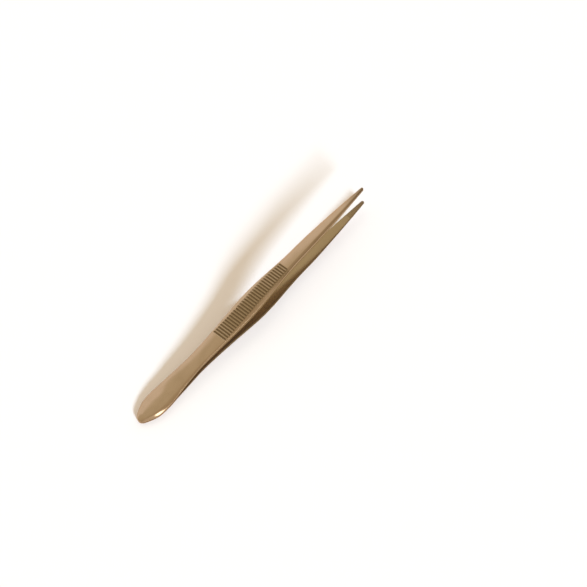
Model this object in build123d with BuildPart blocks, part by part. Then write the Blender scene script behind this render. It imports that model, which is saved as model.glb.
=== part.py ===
"""Straight tweezers: two spring-steel blades welded face to face at the heel.

Lengths are in millimetres. The tweezers lie on a table, heel towards -X and points towards +X,
on the nose of the heel and on the bow of the lower blade. The origin is on the table, under the
middle of the length. Both blades are the same shape, mirrored about the mid-plane between them.
"""

import os
from collections import namedtuple
from math import atan2, cos, degrees, floor, sin

from build123d import *

# Places along the blade, from the nose of the heel
length = 145.0
heel_place = 11.0
hinge_place = 20.0
neck_place = 34.0
grip_place = 69.0
bow_place = 95.0

# Widths of the blade
nose_width = 3.0
heel_width = 10.6
neck_width = 7.5
grip_width = 9.8
bow_width = 6.5
tip_width = 1.5

# Thicknesses of the blade at its crest
heel_thickness = 1.15
neck_thickness = 1.35
grip_thickness = 2.1
bow_thickness = 2.2
tip_thickness = 1.1

# How far the rounded shoulders fall from the crest to the sides
nose_fall = 0.4
heel_fall = 0.75
neck_fall = 0.3
grip_fall = 0.7
bow_fall = 0.85
tip_fall = 0.45

# Gaps from the mid-plane to the inner face
neck_gap = 0.95
grip_gap = 2.85
bow_gap = 4.35
tip_gap = 4.65

# The weld between the heels
weld_thickness = 0.3
weld_length = 10.0
weld_width = 7.8
weld_reach = 2.0

# Grooves across the grip, about their own middle
groove_place = 70.5
groove_count = 31
groove_pitch = 1.37
groove_width = 0.66
groove_length = 7.0
groove_depth = 0.36

# Serrations across the inner face at the point
tooth_pitch = 0.8
tooth_depth = 0.2
toothed_length = 10.0
tooth_margin = 0.9

# Finishing
nose_radius = 2.6
nose_reach = 1.3
point_radius = 0.8
land_depth = 0.04
closed_clearance = 0.05

# Width of the flat crest as a share of the blade's width
nose_crest_share = 0.50
heel_crest_share = 0.68
neck_crest_share = 0.80
grip_crest_share = 0.50
bow_crest_share = 0.62
tip_crest_share = 0.40
# Where the shoulder's control point lies, from the crest's edge to the side
shoulder_share = 0.2

weld_gap = weld_thickness / 2
weld_place = heel_place + weld_reach

Station = namedtuple("Station", "place width thickness fall gap crest_share")
nose = Station(0, nose_width, heel_thickness, nose_fall, weld_gap, nose_crest_share)
heel = Station(heel_place, heel_width, heel_thickness, heel_fall, weld_gap, heel_crest_share)
neck = Station(neck_place, neck_width, neck_thickness, neck_fall, neck_gap, neck_crest_share)
grip = Station(grip_place, grip_width, grip_thickness, grip_fall, grip_gap, grip_crest_share)
bow = Station(bow_place, bow_width, bow_thickness, bow_fall, bow_gap, bow_crest_share)
tip = Station(length, tip_width, tip_thickness, tip_fall, tip_gap, tip_crest_share)

# Stations in between, as shares of the way from one named station to the next,
# for the place, width, thickness, fall, gap and crest in turn
nose_to_heel_shares = [(0.12, 0.20, 0, 0.2, 0, 0.2), (0.32, 0.53, 0, 0.5, 0, 0.5),
                       (0.62, 0.90, 0, 0.8, 0, 0.8)]
heel_to_neck_shares = [(0.10, 0.03, 0, 0, 0, 0), (0.26, 0.20, 0.1, 0.3, 0.08, 0.1),
                       (0.56, 0.57, 0.4, 0.8, 0.50, 0.5)]
neck_to_grip_shares = [(0.22, 0.07, 0.23, 0, 0.07, 0), (0.44, 0.33, 0.40, 0, 0.17, -0.1),
                       (0.73, 0.75, 0.68, 0.35, 0.46, 0.45)]
grip_to_bow_shares = [(0.45, 0.34, 0.3, 0.5, 0.72, 0.5)]
bow_to_tip_shares = [(0.24, 0.12, 0.19, 0.1, 1.13, 0.1), (0.46, 0.31, 0.43, 0.3, 1.47, 0.3),
                     (0.66, 0.52, 0.65, 0.5, 1.3, 0.5), (0.88, 0.82, 0.89, 0.8, 1.1, 0.8)]


def stations_between(start, end, share_rows):
    """Stations between two named ones, each a row of shares of the way from start to end."""
    return [
        Station(*(a + (b - a) * share for a, b, share in zip(start, end, row))) for row in share_rows
    ]


stations = [
    nose, *stations_between(nose, heel, nose_to_heel_shares),
    heel, *stations_between(heel, neck, heel_to_neck_shares),
    neck, *stations_between(neck, grip, neck_to_grip_shares),
    grip, *stations_between(grip, bow, grip_to_bow_shares),
    bow, *stations_between(bow, tip, bow_to_tip_shares),
    tip,
]


def station_at(place):
    """The blade's station at any place along it, between the two nearest listed ones."""
    last = len(stations) - 1
    index = next((i for i in range(1, last) if stations[i].place >= place), last)
    before, after = stations[index - 1], stations[index]
    share = (place - before.place) / (after.place - before.place)
    return stations_between(before, after, [[share] * len(before)])[0]


# The mid-plane leans so that the nose and the bow of the lower blade both reach the table
nose_height = nose.gap + nose.thickness
bow_height = bow.gap + bow.thickness
lean = atan2(bow_height - nose_height, bow_place)
along = Vector(cos(lean), 0, sin(lean))
away = Vector(-sin(lean), 0, cos(lean))
mid_plane = Plane(
    origin=Vector(-length / 2 * cos(lean), 0, nose_height * cos(lean) - land_depth),
    x_dir=along,
    z_dir=away,
)
side_plane = Plane(origin=mid_plane.origin, x_dir=along, z_dir=-mid_plane.y_dir)


def across_plane(place):
    """The plane square to the blade at a place along it, with X across and Y away from the mid-plane."""
    return Plane(origin=mid_plane.origin + along * place, x_dir=mid_plane.y_dir, z_dir=along)


# Upper arm: a loft through the stations, each with a flat inner face, two sides, rounded
# shoulders and a flat crest
with BuildPart() as upper_arm:
    for station in stations:
        side = station.width / 2
        crest = side * station.crest_share
        shoulder = crest + (side - crest) * shoulder_share
        inner_face = station.gap
        crest_height = station.gap + station.thickness
        side_height = crest_height - station.fall
        with BuildSketch(across_plane(station.place)):
            with BuildLine():
                Line((-side, inner_face), (side, inner_face))
                Line((side, inner_face), (side, side_height))
                Bezier((side, side_height), (shoulder, crest_height), (crest, crest_height))
                Line((crest, crest_height), (-crest, crest_height))
                Bezier((-crest, crest_height), (-shoulder, crest_height), (-side, side_height))
                Line((-side, side_height), (-side, inner_face))
            make_face()
    loft()

    # The nose and the point are rounded in plan, the nose as far as its arc meets the sides
    with BuildSketch(mid_plane):
        with Locations((nose_radius, 0)):
            Circle(nose_radius)
        with Locations((length - point_radius, 0)):
            Circle(point_radius)
        with Locations(((length - point_radius + nose_reach) / 2, 0)):
            Rectangle(length - point_radius - nose_reach, heel_width + grip_width)
    extrude(amount=bow_height + tip_gap, both=True, mode=Mode.INTERSECT)

    # The inner face of the heel is flat, where the weld holds it
    with BuildSketch(side_plane):
        with Locations((weld_place / 2, 0)):
            Rectangle(weld_place, weld_thickness)
    extrude(amount=heel_width, both=True, mode=Mode.SUBTRACT)

    # Grooves straight across the grip, which stop short of its sides
    groove_start = groove_place - groove_pitch * (groove_count - 1) / 2
    with BuildSketch(side_plane):
        for count in range(groove_count):
            groove = station_at(groove_start + count * groove_pitch)
            with Locations((groove.place, groove.gap + groove.thickness)):
                Rectangle(groove_width, groove_depth * 2)
    extrude(amount=groove_length / 2, both=True, mode=Mode.SUBTRACT)

    # Serrations across the inner face at the point
    with BuildSketch(side_plane):
        for count in range(floor(toothed_length / tooth_pitch)):
            tooth = station_at(length - tooth_margin - count * tooth_pitch)
            with Locations((tooth.place, tooth.gap)):
                Rectangle(tooth_depth * 2, tooth_depth * 2, rotation=45)
    extrude(amount=grip_width, both=True, mode=Mode.SUBTRACT)
upper_arm.part.label = "upper_arm"

# Lower arm: the same blade mirrored, with the places that meet the table ground flat
with BuildPart() as lower_arm:
    mirror(upper_arm.part, about=mid_plane)
    split(bisect_by=Plane.XY, keep=Keep.TOP)
lower_arm.part.label = "lower_arm"

# Weld metal between the flat inner faces of the two heels
with BuildPart() as heel_weld:
    with BuildSketch(mid_plane):
        with Locations((weld_place - weld_length / 2, 0)):
            Ellipse(weld_length / 2, weld_width / 2)
    extrude(amount=weld_gap, both=True)
heel_weld.part.label = "heel_weld"

# Each arm bends about this place as it closes, until the points all but meet
hinge = station_at(hinge_place)
hinge_height = hinge.gap + hinge.thickness / 2
closed_angle = degrees(atan2(tip_gap - closed_clearance, length - hinge_place))
upper_hinge = mid_plane.from_local_coords((hinge_place, 0, hinge_height))
lower_hinge = mid_plane.from_local_coords((hinge_place, 0, -hinge_height))
land = side_plane.from_local_coords((bow_place, -bow_height))
print("upper hinge", upper_hinge, "lower hinge", lower_hinge, "closed angle", round(closed_angle, 3))
print("lean", round(degrees(lean), 3), "land", land)

os.makedirs("parts", exist_ok=True)
export_step(upper_arm.part, "parts/upper_arm.step")
export_step(lower_arm.part, "parts/lower_arm.step")
export_step(heel_weld.part, "parts/heel_weld.step")
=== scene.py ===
"""Straight steel tweezers, dressed: two ground blades welded together at the heel, on a pale table.

Sizes are in millimetres in the tweezers' own frame, where X runs from the nose of the heel to the
points, Y across the blades and Z away from the mid-plane between them. Finished meshes are in
metres in the row frame, where the tweezers lie on the table with their origin under the middle.
"""

import logging
from dataclasses import dataclass
from enum import Enum
from math import atan2, cos, radians, sin
from typing import Any, Sequence

import bmesh
import bpy
import numpy as np
from mathutils import Matrix

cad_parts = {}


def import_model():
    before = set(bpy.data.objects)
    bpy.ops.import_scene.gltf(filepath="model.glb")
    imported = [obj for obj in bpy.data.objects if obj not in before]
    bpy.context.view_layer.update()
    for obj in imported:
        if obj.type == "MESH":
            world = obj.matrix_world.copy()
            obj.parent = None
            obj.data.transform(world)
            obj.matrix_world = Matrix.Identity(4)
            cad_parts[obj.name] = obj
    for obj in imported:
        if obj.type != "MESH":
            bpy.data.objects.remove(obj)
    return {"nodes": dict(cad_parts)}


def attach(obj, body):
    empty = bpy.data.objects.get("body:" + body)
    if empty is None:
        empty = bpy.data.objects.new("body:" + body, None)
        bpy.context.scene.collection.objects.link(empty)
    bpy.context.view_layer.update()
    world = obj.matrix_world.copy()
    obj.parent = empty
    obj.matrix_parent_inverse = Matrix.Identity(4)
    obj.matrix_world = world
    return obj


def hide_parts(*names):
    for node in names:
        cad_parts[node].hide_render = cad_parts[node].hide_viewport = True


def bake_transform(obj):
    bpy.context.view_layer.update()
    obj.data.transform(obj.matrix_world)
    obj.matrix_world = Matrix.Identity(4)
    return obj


MILLIMETRE = 0.001
Colour = tuple[float, float, float]
Triple = tuple[float, float, float]


def smooth_through(knots: np.ndarray, values: np.ndarray, at: np.ndarray) -> np.ndarray:
    """Natural cubic spline through rows of values: each piece is the cubic whose slope and bend
    match those of its neighbours, and the bend is zero at both ends.

    Args:
        knots: Places of the rows, rising.
        values: One row of values for each place.
        at: Places to work the values out for.

    Returns:
        One row of values for each place in at.
    """
    step = np.diff(knots)
    slope = np.diff(values, axis=0) / step[:, None]
    inner = np.arange(1, len(knots) - 1)
    system = np.eye(len(knots))
    system[inner, inner - 1] = step[:-1]
    system[inner, inner] = 2 * (step[:-1] + step[1:])
    system[inner, inner + 1] = step[1:]
    turn = np.zeros_like(values)
    turn[1:-1] = 6 * np.diff(slope, axis=0)
    bend = np.linalg.solve(system, turn)
    piece = np.clip(np.searchsorted(knots, at) - 1, 0, len(step) - 1)
    width = step[piece][:, None]
    before = (knots[piece + 1] - at)[:, None] / width
    after = 1 - before
    curve = (before**3 - before) * bend[piece] + (after**3 - after) * bend[piece + 1]
    return before * values[piece] + after * values[piece + 1] + curve * width**2 / 6


def grid_object(name: str, grid: np.ndarray, flip: bool, layers: dict[str, np.ndarray]) -> Any:
    """Object from a grid of points whose columns close on themselves. Points that fall together
    at its ends are merged, which closes them.

    Args:
        name: Name of the object and its mesh.
        grid: Points in metres, as rows, columns and coordinates.
        flip: Whether the faces are wound the other way, so that they point outwards.
        layers: Values for each point of the grid, kept as attributes of those names.

    Returns:
        The linked object, at the origin.
    """
    rows, columns = grid.shape[:2]
    index = np.arange(rows * columns).reshape(rows, columns)
    start, turned = index[:-1], np.roll(index, -1, axis=1)
    quads = np.stack([start, turned[:-1], turned[1:], index[1:]], axis=-1).reshape(-1, 4)
    if flip:
        quads = quads[:, ::-1]
    mesh = bpy.data.meshes.new(name)
    mesh.vertices.add(rows * columns)
    mesh.vertices.foreach_set("co", grid.astype(np.float32).ravel())
    mesh.loops.add(quads.size)
    mesh.loops.foreach_set("vertex_index", quads.ravel())
    mesh.polygons.add(len(quads))
    mesh.polygons.foreach_set("loop_start", np.arange(0, quads.size, 4))
    for layer, values in layers.items():
        attribute = mesh.attributes.new(layer, "FLOAT", "POINT")
        attribute.data.foreach_set("value", values.astype(np.float32).ravel())
    mesh.update(calc_edges=True)
    merge_points(mesh)
    thing = bpy.data.objects.new(name, mesh)
    bpy.context.scene.collection.objects.link(thing)
    return thing


def merge_points(mesh: Any, closeness: float = 1e-7, crease: float = radians(32)) -> None:
    """Merge the points of a mesh that fall together, and shade it smooth between its creases.

    Args:
        mesh: The mesh to mend.
        closeness: Distance in metres under which points are one.
        crease: Angle between faces above which their edge stays sharp.
    """
    work = bmesh.new()
    work.from_mesh(mesh)
    bmesh.ops.remove_doubles(work, verts=work.verts, dist=closeness)
    bmesh.ops.dissolve_degenerate(work, edges=work.edges, dist=closeness)
    work.to_mesh(mesh)
    work.free()
    mesh.validate()
    mesh.shade_smooth()
    mesh.set_sharp_from_angle(angle=crease)


class Side(Enum):
    """Which blade of the pair, by the name of its node."""

    UPPER = "upper_arm"
    LOWER = "lower_arm"

    @property
    def sign(self) -> int:
        """Plus one above the mid-plane, minus one below it."""
        return 1 if self is Side.UPPER else -1

    @property
    def wall_share(self) -> float:
        """How far its walls take painted shade and extra roughness: less on the upper blade, fully on
        the lower one beside the table.
        """
        return 0.75 if self is Side.UPPER else 1.0


@dataclass(frozen=True)
class Station:
    """One cross-section of a blade."""

    place: float
    width: float
    thickness: float
    fall: float
    gap: float
    crest_share: float
    crown: float
    edge: float

    @property
    def row(self) -> list[float]:
        """The sizes as a row of numbers, in the order of the fields."""
        return list(vars(self).values())


@dataclass(frozen=True)
class Grooves:
    """Grooves straight across the grip, with round bottoms and steep walls."""

    place: float = 70.5
    count: int = 31
    pitch: float = 1.37
    width: float = 0.70
    length: float = 7.0
    depth: float = 0.30
    run_out: float = 0.35
    lip: float = 0.05
    ridge_wear: float = 0.03

    @property
    def centres(self) -> np.ndarray:
        """Places of the middles of the grooves."""
        return self.place + (np.arange(self.count) - (self.count - 1) / 2) * self.pitch

    @property
    def reach(self) -> float:
        """Distance from the middle of the grooves to just past the last one."""
        return self.count / 2 * self.pitch

    @property
    def rows(self) -> np.ndarray:
        """Places of the rows of points that the grooves need."""
        half = self.width / 2
        shares = np.array([0, 0.35, 0.6, 0.8, 0.92, 1.0])
        offsets = np.concatenate([shares * half, [half + self.lip, self.pitch / 2]])
        offsets = np.concatenate([-offsets[:0:-1], offsets])
        return (self.centres[:, None] + offsets).ravel()

    def depth_at(self, places: np.ndarray, across: np.ndarray) -> np.ndarray:
        """Depth of the cut: the root of one minus the fourth power of the distance from the
        groove's middle as a share of its half width, times the depth. The lip beside it is
        rounded by a small linear fall. At its ends the cut runs out by a smooth step.

        Args:
            places: Places of the rows of points along the blade.
            across: Distances of the points from the middle.

        Returns:
            The depth at each point, zero away from the grooves.
        """
        distance = np.abs(places[:, None] - self.centres).min(axis=1)
        share = np.clip(distance / (self.width / 2), 0, 1)
        lip = np.clip(1 - (distance - self.width / 2) / self.lip, 0, 1)
        depth = (self.depth - self.ridge_wear) * np.sqrt(1 - share**4) + self.ridge_wear * lip
        end = np.clip((self.length / 2 - np.abs(across)) / self.run_out, 0, 1)
        return depth[:, None] * end**2 * (3 - 2 * end)


@dataclass(frozen=True)
class Serrations:
    """Fine notches across the inner face at the point, which mesh as the points close."""

    pitch: float = 0.8
    depth: float = 0.14
    length: float = 10.0
    margin: float = 0.9
    rows_each: int = 8

    def depth_at(self, places: np.ndarray, end: float) -> np.ndarray:
        """Depth of the notches: a triangle wave that is zero half a pitch from each notch.

        Args:
            places: Places along the blade.
            end: Place of the point.

        Returns:
            The depth at each place, zero behind the toothed length.
        """
        back = end - self.margin - places
        wave = np.abs((back / self.pitch) % 1 - 0.5) * 2
        inside = (back > -self.pitch / 2) & (back < self.length)
        return np.where(inside, np.clip(wave * 2 - 1, 0, 1), 0) * self.depth


@dataclass(frozen=True)
class MidPlane:
    """The leaning plane between the blades, which brings nose and bow down to the table."""

    length: float
    nose_height: float
    bow_height: float
    bow_place: float
    land_depth: float = 0.04

    @property
    def lean(self) -> float:
        """Angle between the mid-plane and the table."""
        return atan2(self.bow_height - self.nose_height, self.bow_place)

    @property
    def axes(self) -> np.ndarray:
        """Rows: along the tweezers, across them and away from the mid-plane."""
        return np.array([[cos(self.lean), 0, sin(self.lean)], [0, 1, 0],
                         [-sin(self.lean), 0, cos(self.lean)]])

    @property
    def origin(self) -> np.ndarray:
        """The nose of the heel, in millimetres in the row frame."""
        height = self.nose_height * cos(self.lean) - self.land_depth
        return np.array([-self.length / 2 * cos(self.lean), 0, height])

    def to_row(self, points: np.ndarray) -> np.ndarray:
        """Points of the tweezers' own frame, in metres in the row frame."""
        return (self.origin + np.asarray(points, float) @ self.axes) * MILLIMETRE


@dataclass(frozen=True)
class Blade:
    """A ground blade: flat inner face, thin walls, rounded edges, shoulders and a crowned crest."""

    length: float = 145.0
    nose_radius: float = 2.6
    nose_reach: float = 1.3
    nose_dome: float = 0.5
    dome_length: float = 3.0
    point_radius: float = 0.8
    inner_edge: float = 0.11
    shoulder_share: float = 0.2
    polish: float = 0.004
    wall_slope: float = 1.2
    slope_range: float = 0.3
    # The walls' painted shade and extra roughness are lighter at the heel.
    heel_shade_and_dullness: float = 0.2
    grip_margin: float = 0.1
    grip_fade: float = 0.3
    row_spacing: float = 0.45
    closest_rows: float = 0.008
    plain_spans: tuple[tuple[float, float], ...] = ((3.0, 50.0), (91.0, 136.0))
    weld_gap: float = 0.15
    weld_place: float = 13.0
    blend_start: float = 13.0
    blend_end: float = 45.0
    # Where the walls' painted shade starts to grow; it is full from twice this place on.
    wall_shade_start: float = 12.0
    # Between these places the inner faces go from the lighter gap colour to the darker jaw colour:
    # painted light and shade.
    jaw_start: float = 45.0
    jaw_end: float = 65.0
    # The points' painted shade grows from here to the end.
    tip_shade_from: float = 130.0
    grooves: Grooves = Grooves()
    serrations: Serrations = Serrations()

    @property
    def named_stations(self) -> list[Station]:
        """The stations that carry driving sizes: nose, heel, neck, grip, bow and tip."""
        return [
            Station(0, 3.0, 1.15, 0.25, self.weld_gap, 0.50, 0.15, 0.24),
            Station(11.0, 10.6, 1.15, 0.62, self.weld_gap, 0.68, 0.16, 0.24),
            Station(34.0, 7.5, 1.35, 0.30, 0.95, 0.80, 0.10, 0.36),
            Station(69.0, 9.8, 2.1, 0.70, 2.85, 0.50, 0.07, 0.16),
            Station(95.0, 6.5, 2.2, 0.85, 4.35, 0.62, 0.03, 0.30),
            Station(self.length, 1.5, 1.1, 0.45, 4.65, 0.40, 0.08, 0.20),
        ]

    @property
    def between_shares(self) -> list[list[tuple[float, ...]]]:
        """Stations in between, as shares of the way to the next named one, for the place, width,
        thickness, fall, gap and crest in turn."""
        return [
            [(0.12, 0.20, 0, 0.3, 0, 0.2), (0.32, 0.53, 0, 0.95, 0, 0.5),
             (0.62, 0.90, 0, 1.43, 0, 0.8)],
            [(0.10, 0.03, 0, 0.5, 0, 0), (0.26, 0.20, -0.15, 0.75, 0.08, 0.1),
             (0.56, 0.57, 0.4, 0.94, 0.50, 0.5)],
            [(0.22, 0.07, 0.23, 0, 0.07, 0), (0.44, 0.33, 0.40, 0, 0.17, -0.1),
             (0.73, 0.75, 0.68, 0.35, 0.46, 0.45)],
            [(0.45, 0.34, 0.3, 0.5, 0.72, 0.5)],
            [(0.24, 0.12, 0.19, 0.1, 1.13, 0.1), (0.46, 0.31, 0.43, 0.3, 1.47, 0.3),
             (0.66, 0.52, 0.65, 0.5, 1.3, 0.5), (0.88, 0.82, 0.89, 0.8, 1.1, 0.8)],
        ]

    @property
    def station_rows(self) -> np.ndarray:
        """All stations as rows of numbers. The crown and the edge go with the place's share."""
        named = np.array([station.row for station in self.named_stations])
        rows = [named[0]]
        for start, end, share_rows in zip(named[:-1], named[1:], self.between_shares):
            for shares in share_rows:
                rows.append(start + (end - start) * np.array([*shares, shares[0], shares[0]]))
            rows.append(end)
        return np.array(rows)

    @property
    def mid_plane(self) -> MidPlane:
        """The plane between the blades, from their heights at the nose and the bow."""
        nose, bow = self.named_stations[0], self.named_stations[4]
        return MidPlane(self.length, nose.gap + nose.thickness, bow.gap + bow.thickness, bow.place)

    @property
    def places(self) -> np.ndarray:
        """Places of the rows of points: close together at the ends, grooves and serrations."""
        turn = np.linspace(0, np.pi / 2, 12)
        nose = self.nose_radius * (1 - np.cos(turn))
        point = self.length - self.point_radius * (1 - np.cos(turn))
        teeth = self.serrations
        count = round(teeth.length / teeth.pitch * teeth.rows_each)
        toothed = self.length - teeth.margin - np.arange(count) * teeth.pitch / teeth.rows_each
        plain = np.concatenate([np.arange(*span, self.row_spacing) for span in self.plain_spans])
        every = np.unique(np.concatenate([nose, point, toothed, plain, self.grooves.rows]).round(4))
        keep = np.concatenate([[True], np.diff(every) > self.closest_rows])
        return every[keep]

    def section(self, places: np.ndarray) -> tuple[np.ndarray, np.ndarray, dict[str, np.ndarray]]:
        """Half sections of the blade, from the middle of the inner face round to the crest.

        The outline in plan is the lesser of the blade's side and the circle of the nose or the
        point. Both edges are quarter circles of the distance from that outline. The crest falls
        by the crown times the square of the distance from the middle as a share of the half
        width, and the shoulders by the rest of the fall times the square of a Bezier parameter.
        The nose is domed by the square of the distance that is left to the dome's start.
        Grooves lower what stands above their bottoms.

        Args:
            places: Places of the rows of points along the blade.

        Returns:
            Distances from the middle, heights above the mid-plane, and the layers of the finish and its
            painted light and shade.
        """
        stations = self.station_rows
        sizes = smooth_through(stations[:, 0], stations[:, 1:], places)
        width, thickness, fall, gap, crest_share, crown, edge = [size[:, None] for size in sizes.T]
        place, side = places[:, None], width / 2 - self.polish
        gap = np.where(place <= self.weld_place, self.weld_gap, gap)
        thickness = thickness - self.nose_dome * np.clip(1 - place / self.dome_length, 0, 1) ** 2
        steepness = np.gradient(side[:, 0], places)[:, None]
        to_end = np.minimum(place, self.length - place)

        def outline(inset: np.ndarray) -> np.ndarray:
            """Half width of the plan outline moved inwards by an inset."""
            limit = side - inset * np.sqrt(1 + steepness**2)
            for radius, reach, from_end in (
                    (self.nose_radius, self.nose_reach, place),
                    (self.point_radius, self.point_radius, self.length - place)):
                across = np.sqrt(np.clip((radius - inset) ** 2 - (radius - from_end) ** 2, 0, None))
                limit = np.where(from_end < reach, np.minimum(limit, across), limit)
            return np.clip(limit, 0, None)

        def rounded(radius: np.ndarray, count: int) -> tuple[np.ndarray, np.ndarray]:
            """Inset and fall of a quarter circle from the wall to the face, cut off at the ends."""
            reach = np.minimum(radius, to_end)
            inset = reach * (1 - np.cos(np.linspace(0, np.pi / 2, count)))
            return inset, radius - np.sqrt(np.clip(radius**2 - (radius - inset) ** 2, 0, None))

        def top(across: np.ndarray) -> np.ndarray:
            """Height of the crest and shoulders before their edges are rounded."""
            crest = side * crest_share
            way = np.clip((across - crest) / (side - crest), 0, 1)
            share = self.shoulder_share
            parameter = (np.sqrt(share**2 + (1 - 2 * share) * way) - share) / (1 - 2 * share)
            crowned = crown * (across / side) ** 2
            return gap + thickness - crowned - (fall - crown) * parameter**2

        inner_inset, inner_fall = rounded(np.full_like(side, self.inner_edge), 5)
        outer_inset, outer_fall = rounded(edge, 14)
        notch = self.serrations.depth_at(places, self.length)[:, None]
        inner_arc, outer_arc = outline(inner_inset)[:, ::-1], outline(outer_inset)
        inner_flat = inner_arc[:, :1] * np.linspace(0, 1, 8)[:-1]
        crest_part = outer_arc[:, -1:] * (1 - np.linspace(0, 1, 25)[1:])
        inner_end, outer_end = inner_fall[:, -1:], outer_fall[:, -1:]
        wall_low = gap + notch + inner_fall[:, :1]
        wall_high = top(outer_arc[:, :1]) - outer_fall[:, :1]
        wall_shares = np.array([1, 2]) / 3
        across = np.concatenate([inner_flat, inner_arc, np.repeat(outer_arc[:, :1], 2, axis=1),
                                 outer_arc, crest_part], axis=1)
        height = np.concatenate([gap + notch + inner_end + 0 * inner_flat,
                                 gap + notch + inner_fall[:, ::-1],
                                 wall_low + (wall_high - wall_low) * wall_shares,
                                 top(outer_arc) - outer_fall,
                                 top(crest_part) - outer_end], axis=1)
        cut = self.grooves.depth_at(places, across)
        grooved = gap + thickness - crown * (across / side) ** 2 - cut
        column = np.arange(across.shape[1])
        outside = column >= inner_flat.shape[1] + inner_arc.shape[1]
        lowered = np.where((cut > 0) & outside, np.minimum(height, grooved), height)
        groove = np.clip((height - lowered) / self.grooves.depth, 0, 1)
        inner_rim = column > inner_flat.shape[1]
        return across, lowered, self.layers(place, across, lowered, groove, outside, inner_rim)

    def layers(self, place: np.ndarray, across: np.ndarray, height: np.ndarray, groove: np.ndarray,
               outside: np.ndarray, inner_rim: np.ndarray) -> dict[str, np.ndarray]:
        """How far each point belongs to each part of the finish and its painted light and shade, from 0
        to 1.

        A point is on a wall as far as the angle of the outline beyond it passes the wall slope,
        divided by the slope range. The grip fades out past the grooves' ends, and the jaw and the
        tip grow evenly along the blade.

        Args:
            place: Places of the rows of points along the blade, as a column.
            across: Distances of the points from the middle.
            height: Heights of the points above the mid-plane.
            groove: How deep each point lies in a groove.
            outside: Which columns are on the walls and the outer face.
            inner_rim: Which columns are past the flat part of the inner face.

        Returns:
            The named layers.
        """
        rise = np.abs(np.diff(height, axis=1, append=height[:, -1:]))
        run = np.abs(np.diff(across, axis=1, append=across[:, -1:]))
        steep = np.clip((np.arctan2(rise, run + 1e-9) - self.wall_slope) / self.slope_range, 0, 1)
        # The wall layer carries painted shade and extra roughness on the steep walls.
        wall = np.where(groove > 0, 0, np.where(outside, steep, inner_rim)) * self.wall_shade_and_dullness(place)
        grip = (self.grooves.length / 2 + self.grip_margin - across) / self.grip_fade
        grip = np.clip(np.minimum(grip, self.grooves.reach - np.abs(place - self.grooves.place)), 0, 1)
        tip = (place - self.tip_shade_from) / (self.length - self.tip_shade_from)
        jaw = (place - self.jaw_start) / (self.jaw_end - self.jaw_start)
        return {"groove": groove, "wall": wall, "grip": np.where(outside, grip, 0),
                "inner": np.broadcast_to(~outside, across.shape),
                "jaw": np.broadcast_to(np.clip(jaw, 0, 1), across.shape),
                "tip": np.broadcast_to(np.clip(tip, 0, 1), across.shape)}

    def wall_shade_and_dullness(self, place: np.ndarray) -> np.ndarray:
        """How far the walls take painted shade and extra roughness: a little at the heel, fully from the
        neck on.
        """
        neck_share = np.clip((place - self.wall_shade_start) / self.wall_shade_start, 0, 1)
        return self.heel_shade_and_dullness + (1 - self.heel_shade_and_dullness) * neck_share

    def grid(self, side: Side) -> tuple[np.ndarray, dict[str, np.ndarray]]:
        """Grid of one blade: its half section and its mirror image, carried along the blade.

        Args:
            side: Which blade.

        Returns:
            Points in metres in the row frame, none below the table, and the named layers.
        """
        places = self.places
        across, height, half_layers = self.section(places)
        back = slice(-2, 0, -1)
        across = np.concatenate([across, -across[:, back]], axis=1)
        height = np.concatenate([height, height[:, back]], axis=1) * side.sign
        along = np.broadcast_to(places[:, None], across.shape)
        points = self.mid_plane.to_row(np.stack([along, across, height], axis=-1))
        points[..., 2] = np.maximum(points[..., 2], 0)
        layers = {name: np.concatenate([half, half[:, back]], axis=1)
                  for name, half in half_layers.items()}
        return points, layers

    def build(self, side: Side, finish: "SatinSteel") -> Any:
        """Build one blade in its finish. It stands for its node.

        Args:
            side: Which blade.
            finish: The finish of its steel.

        Returns:
            The blade's object.
        """
        points, layers = self.grid(side)
        # The walls' painted shade is scaled by blade: less on the upper one.
        layers["wall"] = layers["wall"] * side.wall_share
        blade = grid_object(f"{side.value}_ground", points, side is Side.LOWER, layers)
        blade.data.materials.append(finish.material())
        start, end = self.mid_plane.to_row([[self.blend_start, 0, 0], [self.blend_end, 0, 0]])
        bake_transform(blade)
        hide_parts(side.value)
        return blade


@dataclass(frozen=True)
class HeelWeld:
    """The weld between the flat inner faces of the heels, with a rippled rim."""

    length: float = 10.0
    width: float = 7.8
    thickness: float = 0.3
    end_place: float = 13.0
    ripple: float = 0.12
    ripple_count: int = 38
    slow_count: int = 7
    slow_share: float = 0.6

    def build(self, mid_plane: MidPlane, finish: "WeldedSteel") -> Any:
        """Build the weld: an ellipse grown from its middle, whose rim bulges by a half circle of
        the thickness and ripples by a sine of the angle.

        Args:
            mid_plane: The plane between the blades.
            finish: The finish of the weld metal.

        Returns:
            The weld's object.
        """
        angle = np.linspace(0, 2 * np.pi, 153)[:-1]
        round_rim = np.linspace(-np.pi / 2, np.pi / 2, 9)
        half = self.thickness / 2
        flat = np.linspace(0, 1, 10)[:, None]
        slow = self.slow_share * np.sin(self.slow_count * angle)
        rim = self.ripple * (np.sin(self.ripple_count * angle) + slow) / 2
        reach_x = self.length / 2 - self.ripple - half + rim
        reach_y = self.width / 2 - self.ripple - half + rim
        grow = np.concatenate([flat, np.ones((7, 1)), flat[::-1]])
        bulge = np.concatenate([0 * flat, np.cos(round_rim[1:-1])[:, None], 0 * flat]) * half
        rise = np.concatenate([-np.ones_like(flat), np.sin(round_rim[1:-1])[:, None],
                               np.ones_like(flat)]) * half
        along = self.end_place - self.length / 2 + (grow * reach_x + bulge) * np.cos(angle)
        across = (grow * reach_y + bulge) * np.sin(angle)
        points = np.stack([along, across, np.broadcast_to(rise, along.shape)], axis=-1)
        weld = grid_object("heel_weld_bead", mid_plane.to_row(points), False, {})
        weld.data.materials.append(finish.material())
        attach(weld, "heel")
        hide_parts("heel_weld")
        return weld


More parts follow.
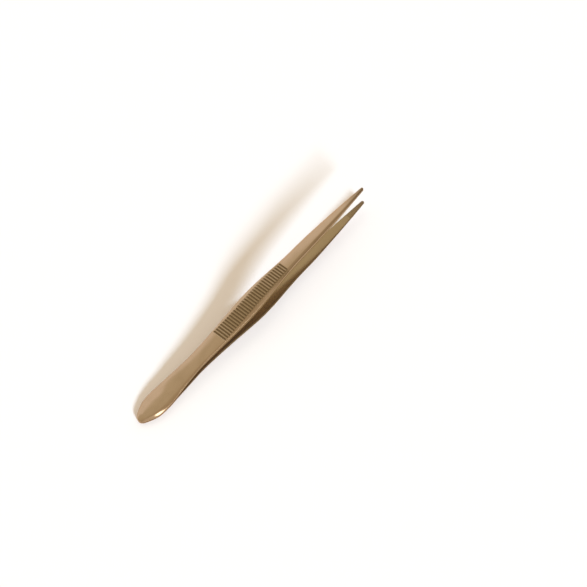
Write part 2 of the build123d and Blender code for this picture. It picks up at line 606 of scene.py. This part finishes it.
class Nodes:
    """Adds and joins the shader nodes of one material or world."""

    def __init__(self, owner: Any) -> None:
        """Start from an empty tree.

        Args:
            owner: The material or world.
        """
        owner.use_nodes = True
        self.tree = owner.node_tree
        self.tree.nodes.clear()

    def add(self, kind: str, inputs: dict[Any, Any] | None = None, **settings: Any) -> Any:
        """Add one node.

        Args:
            kind: The node's type, without its ShaderNode prefix.
            inputs: Values or sockets for its inputs, by name or number.
            settings: Values for its other properties.

        Returns:
            The node.
        """
        node = self.tree.nodes.new("ShaderNode" + kind)
        for name, value in settings.items():
            setattr(node, name, value)
        for name, value in (inputs or {}).items():
            if isinstance(value, bpy.types.NodeSocket):
                self.tree.links.new(value, node.inputs[name])
            else:
                node.inputs[name].default_value = value
        return node

    def math(self, operation: str, first: Any, second: Any = 0.0) -> Any:
        """Result of a Math node on two values or sockets."""
        return self.add("Math", {0: first, 1: second}, operation=operation).outputs[0]

    def ramp(self, factor: Any, stops: Sequence[tuple[float, Sequence[float]]]) -> Any:
        """Colour of a ramp.

        Args:
            factor: The socket that drives it.
            stops: Places and colours, rising.

        Returns:
            The colour socket.
        """
        node = self.add("ValToRGB", {0: factor})
        elements = node.color_ramp.elements
        elements[0].position, elements[1].position = stops[0][0], stops[-1][0]
        for place, _ in stops[1:-1]:
            elements.new(place)
        for element, (_, colour) in zip(elements, stops):
            element.color = (*colour, 1)
        return node.outputs[0]

    def mix(self, factor: Any, first: Any, second: Any, blend: str = "MIX") -> Any:
        """Colour between two colours or sockets."""
        inputs = {0: factor, 6: first, 7: second}
        return self.add("Mix", inputs, data_type="RGBA", blend_type=blend).outputs[2]

    def noise(self, vector: Any, scale: Sequence[float], detail: float = 3) -> Any:
        """Noise from a vector that is scaled along each axis, per metre."""
        mapped = self.add("Mapping", {0: vector, 3: scale}).outputs[0]
        return self.add("TexNoise", {"Vector": mapped, "Scale": 1.0, "Detail": detail}).outputs[0]

    def attribute(self, name: str) -> Any:
        """Value of a mesh attribute."""
        return self.add("Attribute", attribute_name=name).outputs["Fac"]


@dataclass(frozen=True)
class SatinSteel:
    """Warm satin steel: lengthwise grain, faint mottling, and rougher grooves and walls. Its colour
    carries painted light and shade on the inner faces, and painted shade in the grooves, on the walls
    and at the points.
    """

    name: str = "satin_steel"
    colour: Colour = (0.54, 0.375, 0.24)
    mottle: Colour = (0.50, 0.345, 0.215)
    # Painted light and shade: the inner faces are lighter in the narrow gap and darker along the jaws.
    inner_gap_light_colour: Colour = (0.52, 0.31, 0.14)
    jaw_shade_colour: Colour = (0.36, 0.245, 0.12)
    edge_tint: Colour = (0.85, 0.66, 0.45)
    # Painted shade on the steep walls.
    wall_shade_colour: Colour = (0.155, 0.105, 0.052)
    # Painted shade in the grooves.
    groove_shade_colour: Colour = (0.20, 0.13, 0.065)
    grip_colour: Colour = (0.40, 0.275, 0.16)
    # Painted shade at the points.
    tip_shade_colour: Colour = (0.26, 0.175, 0.10)
    grain_scale: Triple = (60.0, 5200.0, 5200.0)
    mottle_scale: Triple = (140.0, 300.0, 300.0)
    roughness: tuple[float, float] = (0.07, 0.11)
    wall_roughness: float = 0.22
    inner_roughness: float = 0.10
    oxide_share: float = 0.10
    grain_height: float = 0.0000015

    def material(self) -> Any:
        """The material, made once."""
        if self.name in bpy.data.materials:
            return bpy.data.materials[self.name]
        steel = bpy.data.materials.new(self.name)
        nodes = Nodes(steel)
        here = nodes.add("TexCoord").outputs["Object"]
        grain = nodes.noise(here, self.grain_scale)
        mottle = nodes.noise(here, self.mottle_scale, 5)
        colour = nodes.ramp(mottle, [(0.35, self.mottle), (0.65, self.colour)])
        groove, wall = nodes.attribute("groove"), nodes.attribute("wall")
        inner = nodes.attribute("inner")
        # Painted light and shade on the inner faces: lighter in the gap, darker along the jaws.
        inside = nodes.mix(nodes.attribute("jaw"), (*self.inner_gap_light_colour, 1), (*self.jaw_shade_colour, 1))
        colour = nodes.mix(inner, colour, inside)
        colour = nodes.mix(nodes.attribute("grip"), colour, (*self.grip_colour, 1))
        # Painted shade darkening the points towards their ends.
        colour = nodes.mix(nodes.attribute("tip"), colour, (*self.tip_shade_colour, 1))
        # Painted shade on the steep walls, less at the heel and on the upper blade.
        colour = nodes.mix(wall, colour, (*self.wall_shade_colour, 1))
        # Painted shade in the grooves, deeper where they cut deeper.
        colour = nodes.mix(groove, colour, (*self.groove_shade_colour, 1))
        rough = nodes.add("MapRange", {0: grain, 1: 0.3, 2: 0.7, 3: self.roughness[0],
                                       4: self.roughness[1]}).outputs[0]
        dull = nodes.math("MAXIMUM", groove, wall)
        rough = nodes.math("ADD", rough, nodes.math("MULTIPLY", dull, self.wall_roughness))
        rough = nodes.math("ADD", rough, nodes.math("MULTIPLY", inner, self.inner_roughness))
        oxide = nodes.math("MULTIPLY", nodes.math("MAXIMUM", inner, wall), self.oxide_share)
        bump = nodes.add("Bump", {"Height": grain, "Strength": 0.25,
                                  "Distance": self.grain_height}).outputs[0]
        shader = nodes.add("BsdfPrincipled", {
            "Base Color": colour, "Metallic": nodes.math("SUBTRACT", 1.0, oxide),
            "Roughness": rough, "Normal": bump, "Specular Tint": (*self.edge_tint, 1),
            "Specular IOR Level": 0.0})
        nodes.add("OutputMaterial", {0: shader.outputs[0]})
        return steel


@dataclass(frozen=True)
class WeldedSteel:
    """Weld metal: duller and darker than the blades, with heat tints."""

    name: str = "weld_steel"
    colour: Colour = (0.30, 0.21, 0.13)
    tint: Colour = (0.16, 0.12, 0.10)
    scale: Triple = (900.0, 900.0, 900.0)

    def material(self) -> Any:
        """The material, made once."""
        if self.name in bpy.data.materials:
            return bpy.data.materials[self.name]
        steel = bpy.data.materials.new(self.name)
        nodes = Nodes(steel)
        here = nodes.add("TexCoord").outputs["Object"]
        tints = nodes.noise(here, self.scale, 4)
        colour = nodes.ramp(tints, [(0.35, self.tint), (0.65, self.colour)])
        rough = nodes.add("MapRange", {0: tints, 3: 0.5, 4: 0.3}).outputs[0]
        shader = nodes.add("BsdfPrincipled", {"Base Color": colour, "Metallic": 1.0,
                                              "Roughness": rough})
        nodes.add("OutputMaterial", {0: shader.outputs[0]})
        return steel


@dataclass(frozen=True)
class Studio:
    """Pale table, soft key light, a world that is bright low on the far side, and the camera."""

    floor_half: float = 3.0
    floor_colour: Colour = (0.75, 0.69, 0.63)
    floor_glow: Colour = (0.12, 0.07, 0.03)
    backdrop: Colour = (0.99, 0.955, 0.93)
    key_direction: Triple = (-0.32, -0.86, 0.42)
    key_strength: float = 5.4
    key_angle: float = radians(11)
    key_colour: Colour = (0.77, 1.0, 1.32)
    spill_direction: Triple = (-0.20, -0.62, 0.76)
    glint_direction: Triple = (0.08, -0.42, 0.905)
    bright_direction: Triple = (0.3, 0.9, -0.3)
    glows: tuple[tuple[float, Colour], ...] = (
        (-0.90, (0.40, 0.355, 0.265)), (-0.25, (0.60, 0.54, 0.42)), (0.04, (0.68, 0.64, 0.51)),
        (0.12, (0.72, 0.69, 0.57)), (0.206, (0.735, 0.71, 0.59)), (0.226, (1.0, 0.99, 0.97)),
        (0.90, (1.0, 1.0, 1.0)))
    glint_colour: Colour = (0.95, 1.0, 1.05)
    spill: Triple = (0.78, 0.97, 0.34)
    glint: Triple = (0.991, 0.9978, 3.2)
    camera_place: Triple = (-109.1, -231.9, 477.5)
    camera_aim: Triple = (86.3, -9.53, 0.0)
    camera_roll: float = radians(-8.84)
    focal_pixels: float = 1300.0
    frame_pixels: float = 587.0
    sensor: float = 36.0

    def build(self, mid_plane: MidPlane) -> None:
        """Set up the floor, the world, the key light and the camera.

        Args:
            mid_plane: The plane between the blades, in whose frame directions are given.
        """
        self.build_floor()
        self.build_world(mid_plane)
        self.build_key(mid_plane)
        self.build_camera(mid_plane)
        bpy.context.scene.view_settings.view_transform = "Standard"

    def build_floor(self) -> None:
        """A pale table. It shows camera and glossy rays a little glow, and keeps its shadows."""
        half = self.floor_half
        corners = [(-half, -half, 0), (half, -half, 0), (half, half, 0), (-half, half, 0)]
        mesh = bpy.data.meshes.new("table")
        mesh.from_pydata(corners, [], [(0, 1, 2, 3)])
        table = bpy.data.objects.new("table", mesh)
        bpy.context.scene.collection.objects.link(table)
        paint = bpy.data.materials.new("table_paint")
        nodes = Nodes(paint)
        path = nodes.add("LightPath").outputs
        seen = nodes.math("MAXIMUM", path["Is Camera Ray"], path["Is Glossy Ray"])
        seen = nodes.math("MAXIMUM", seen, path["Is Transmission Ray"])
        matt = nodes.add("BsdfDiffuse", {"Color": (*self.floor_colour, 1)}).outputs[0]
        glow = nodes.add("Emission", {"Color": (*self.floor_glow, 1), "Strength": seen}).outputs[0]
        both = nodes.add("AddShader", {0: matt, 1: glow}).outputs[0]
        nodes.add("OutputMaterial", {0: both})
        mesh.materials.append(paint)

    def build_world(self, mid_plane: MidPlane) -> None:
        """Surroundings that brighten towards one low direction, pale where the camera sees them."""
        world = bpy.data.worlds.new("studio")
        bpy.context.scene.world = world
        nodes = Nodes(world)
        bright = np.array(self.bright_direction) @ mid_plane.axes
        bright /= np.linalg.norm(bright)
        look = nodes.add("TexCoord").outputs["Generated"]
        turned = nodes.add("VectorMath", {0: look, 1: tuple(bright)}, operation="DOT_PRODUCT")
        share = nodes.math("MULTIPLY_ADD", turned.outputs["Value"], 0.5)
        share.node.inputs[2].default_value = 0.5
        colour = nodes.ramp(share, [((place + 1) / 2, glow) for place, glow in self.glows])
        seen = nodes.add("LightPath").outputs["Is Camera Ray"]
        colour = nodes.mix(seen, colour, (*self.backdrop, 1))
        background = nodes.add("Background", {"Color": colour, "Strength": 1.0}).outputs[0]
        spill = self.lobe(nodes, look, self.spill_direction @ mid_plane.axes, self.spill)
        glint = self.lobe(nodes, look, self.glint_direction @ mid_plane.axes, self.glint)
        strength = nodes.math("ADD", spill, glint)
        strength = nodes.math("MULTIPLY", strength, nodes.math("SUBTRACT", 1.0, seen))
        lamp = nodes.add("Background", {"Color": (*self.glint_colour, 1), "Strength": strength})
        both = nodes.add("AddShader", {0: background, 1: lamp.outputs[0]}).outputs[0]
        nodes.add("OutputWorld", {0: both})

    @staticmethod
    def lobe(nodes: Nodes, look: Any, towards: np.ndarray, shape: Triple) -> Any:
        """Strength of a soft lamp in the world.

        Args:
            nodes: The world's nodes.
            look: The direction in which the world is seen.
            towards: Direction of the lamp's middle.
            shape: Cosines at the lamp's rim and where it is full, and its full strength.

        Returns:
            The socket with its strength, a smooth step between the two cosines.
        """
        start, end, height = shape
        towards = tuple(towards / np.linalg.norm(towards))
        near = nodes.add("VectorMath", {0: look, 1: towards}, operation="DOT_PRODUCT")
        return nodes.add("MapRange", {0: near.outputs["Value"], 1: start, 2: end, 4: height},
                         interpolation_type="SMOOTHSTEP").outputs[0]

    def build_key(self, mid_plane: MidPlane) -> None:
        """A soft distant lamp that shines along the key direction."""
        lamp = bpy.data.lights.new("key", "SUN")
        lamp.energy, lamp.angle, lamp.color = self.key_strength, self.key_angle, self.key_colour
        key = bpy.data.objects.new("key", lamp)
        bpy.context.scene.collection.objects.link(key)
        towards = np.array(self.key_direction) @ mid_plane.axes
        key.matrix_world = Matrix(self.facing(towards, 0)).to_4x4()
        key.visible_glossy = False

    def build_camera(self, mid_plane: MidPlane) -> None:
        """The camera at the photograph's viewing angle."""
        lens = bpy.data.cameras.new("camera")
        lens.sensor_width = self.sensor
        lens.lens = self.focal_pixels / self.frame_pixels * self.sensor
        camera = bpy.data.objects.new("camera", lens)
        bpy.context.scene.collection.objects.link(camera)
        place, aim = np.array(self.camera_place), np.array(self.camera_aim)
        turned = mid_plane.axes.T @ self.facing(place - aim, self.camera_roll)
        camera.matrix_world = Matrix.Translation(mid_plane.to_row(place)) @ Matrix(turned).to_4x4()
        bpy.context.scene.camera = camera

    @staticmethod
    def facing(back: np.ndarray, roll: float) -> np.ndarray:
        """Turn of a camera or lamp: its Z axis lies along back, its X axis level, then rolled.

        Args:
            back: Direction of its Z axis.
            roll: Angle by which X and Y turn about Z.

        Returns:
            A matrix whose columns are its axes.
        """
        back = back / np.linalg.norm(back)
        level = np.cross([0, 0, 1], back)
        level /= np.linalg.norm(level)
        raised = np.cross(back, level)
        right = cos(roll) * level + sin(roll) * raised
        return np.stack([right, np.cross(back, right), back], axis=1)


def main() -> None:
    """Load the frame and build every piece around it."""
    logging.basicConfig(level=logging.INFO, format="%(message)s")
    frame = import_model()
    logging.info("loaded a frame with %d nodes", len(frame["nodes"]))
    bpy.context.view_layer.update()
    blade = Blade()
    steel, weld_metal = SatinSteel(), WeldedSteel()
    pieces = [blade.build(side, steel) for side in Side]
    pieces.append(HeelWeld(thickness=2 * blade.weld_gap).build(blade.mid_plane, weld_metal))
    for piece in pieces:
        logging.info("built %s with %d points", piece.name, len(piece.data.vertices))
    Studio().build(blade.mid_plane)


if __name__ == "__main__":
    main()
